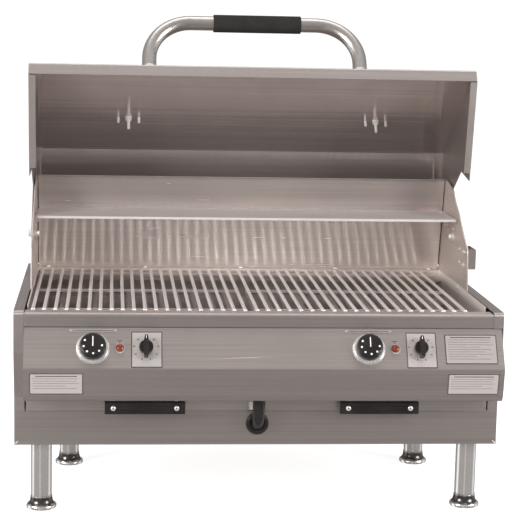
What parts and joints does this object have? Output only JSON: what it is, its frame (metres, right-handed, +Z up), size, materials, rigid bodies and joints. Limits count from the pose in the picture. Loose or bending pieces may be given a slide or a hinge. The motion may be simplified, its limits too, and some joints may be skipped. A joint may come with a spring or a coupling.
{
  "type": "charbroiler grill",
  "caption": "Electric tabletop charbroiler in stainless steel: open hinged hood, rod grates, warming shelf, sloping control box, drip trays and short legs.",
  "frame": {"origin": "on the floor under the middle of the bounding box, hood open", "axes": "+X to the right seen from the front, +Y from the front to the back, +Z up"},
  "size_m": [0.816, 0.5703, 0.8315],
  "materials": {
    "stainless": "brushed satin stainless steel sheet",
    "inner_steel": "heat-toned stainless steel sheet",
    "element_sheath": "dark oxidised heater sheath",
    "grate_rods": "polished stainless rod",
    "polished_tube": "polished stainless tube",
    "grip_foam": "black foam rubber",
    "fasteners": "plain stainless fasteners",
    "dial_metal": "bright satin ring",
    "black_plastic": "black moulded phenolic",
    "switch_housing": "grey switch housings",
    "lamp_bezel": "pale lamp ring",
    "lamp_lens": "orange-red lens",
    "timer_plate": "pale satin plate with a dark edge",
    "label_plate": "blank pale plates",
    "cable_rubber": "black rubber"
  },
  "bodies": {
    "frame": {"base_pan": "stainless", "left_side_panel": "stainless", "right_side_panel": "stainless", "rear_wall": "stainless", "front_rail": "stainless", "control_fascia": "stainless", "control_back_plate": "inner_steel", "firebox_liner": "inner_steel", "heat_reflector": "inner_steel", "left_heating_element": "element_sheath", "right_heating_element": "element_sheath", "element_supports": "inner_steel", "left_side_plate": "stainless", "right_side_plate": "stainless", "back_panel": "stainless", "shelf_brackets": "stainless", "motor_bracket": "stainless", "pivot_bolts": "fasteners", "pivot_nuts": "fasteners", "hood_stops": "fasteners", "thermostat_dials": "dial_metal", "thermostats": "switch_housing", "pilot_lamp_bezels": "lamp_bezel", "pilot_lamp_lenses": "lamp_lens", "timer_plates": "timer_plate", "timers": "switch_housing", "data_plates": "label_plate", "tray_runners": "inner_steel", "cable_gland": "black_plastic", "supply_cable": "cable_rubber", "cable_bushing": "cable_rubber", "terminal_box": "switch_housing", "supply_inlet": "cable_rubber", "legs": "polished_tube", "sheet_screws": "fasteners", "rivets": "fasteners"},
    "hood": {"hood_shell": "stainless", "left_hood_end": "stainless", "right_hood_end": "stainless", "hood_handle": "polished_tube", "handle_flanges": "polished_tube", "handle_grip": "grip_foam", "hood_inner_nuts": "fasteners"},
    "grate_left": {"left_grate": "grate_rods"},
    "grate_right": {"right_grate": "grate_rods"},
    "shelf": {"warming_shelf": "stainless"},
    "tray_left": {"left_drip_tray": "stainless", "left_tray_handle": "black_plastic", "tray_handle_screws_left": "fasteners"},
    "tray_right": {"right_drip_tray": "stainless", "right_tray_handle": "black_plastic", "tray_handle_screws_right": "fasteners"},
    "thermostat_left": {"left_thermostat_knob": "black_plastic"},
    "thermostat_right": {"right_thermostat_knob": "black_plastic"},
    "timer_left": {"left_timer_knob": "black_plastic"},
    "timer_right": {"right_timer_knob": "black_plastic"},
    "foot_front_left": {"foot_front_left": "polished_tube"},
    "foot_front_right": {"foot_front_right": "polished_tube"},
    "foot_rear_left": {"foot_rear_left": "polished_tube"},
    "foot_rear_right": {"foot_rear_right": "polished_tube"}
  },
  "joints": [
    {"name": "hood_hinge", "type": "hinge", "parent": "frame", "child": "hood", "pos_m": [0, 0.106, 0.429], "axis": [-1, 0, 0], "range_deg": [-80, 0]},
    {"name": "thermostat_left_turn", "type": "hinge", "parent": "frame", "child": "thermostat_left", "pos_m": [-0.278, -0.25885, 0.28966], "axis": [0, 0.8605, -0.5094], "range_deg": [0, 300]},
    {"name": "timer_left_turn", "type": "hinge", "parent": "frame", "child": "timer_left", "pos_m": [-0.191, -0.25885, 0.28966], "axis": [0, 0.8605, -0.5094], "range_deg": [0, 330]},
    {"name": "tray_left_slide", "type": "slide", "parent": "frame", "child": "tray_left", "axis": [0, -1, 0], "range_m": [0, 0.35]},
    {"name": "grate_left_lift", "type": "slide", "parent": "frame", "child": "grate_left", "axis": [0, 0, 1], "range_m": [0, 0.05]},
    {"name": "thermostat_right_turn", "type": "hinge", "parent": "frame", "child": "thermostat_right", "pos_m": [0.178, -0.25885, 0.28966], "axis": [0, 0.8605, -0.5094], "range_deg": [0, 300]},
    {"name": "timer_right_turn", "type": "hinge", "parent": "frame", "child": "timer_right", "pos_m": [0.265, -0.25885, 0.28966], "axis": [0, 0.8605, -0.5094], "range_deg": [0, 330]},
    {"name": "tray_right_slide", "type": "slide", "parent": "frame", "child": "tray_right", "axis": [0, -1, 0], "range_m": [0, 0.35]},
    {"name": "grate_right_lift", "type": "slide", "parent": "frame", "child": "grate_right", "axis": [0, 0, 1], "range_m": [0, 0.05]},
    {"name": "shelf_lift", "type": "slide", "parent": "frame", "child": "shelf", "axis": [0, 0, 1], "range_m": [0, 0.035]},
    {"name": "foot_front_left_screw", "type": "slide", "parent": "frame", "child": "foot_front_left", "axis": [0, 0, -1], "range_m": [0, 0.02]},
    {"name": "foot_front_right_screw", "type": "slide", "parent": "frame", "child": "foot_front_right", "axis": [0, 0, -1], "range_m": [0, 0.02]},
    {"name": "foot_rear_left_screw", "type": "slide", "parent": "frame", "child": "foot_rear_left", "axis": [0, 0, -1], "range_m": [0, 0.02]},
    {"name": "foot_rear_right_screw", "type": "slide", "parent": "frame", "child": "foot_rear_right", "axis": [0, 0, -1], "range_m": [0, 0.02]}
  ]
}
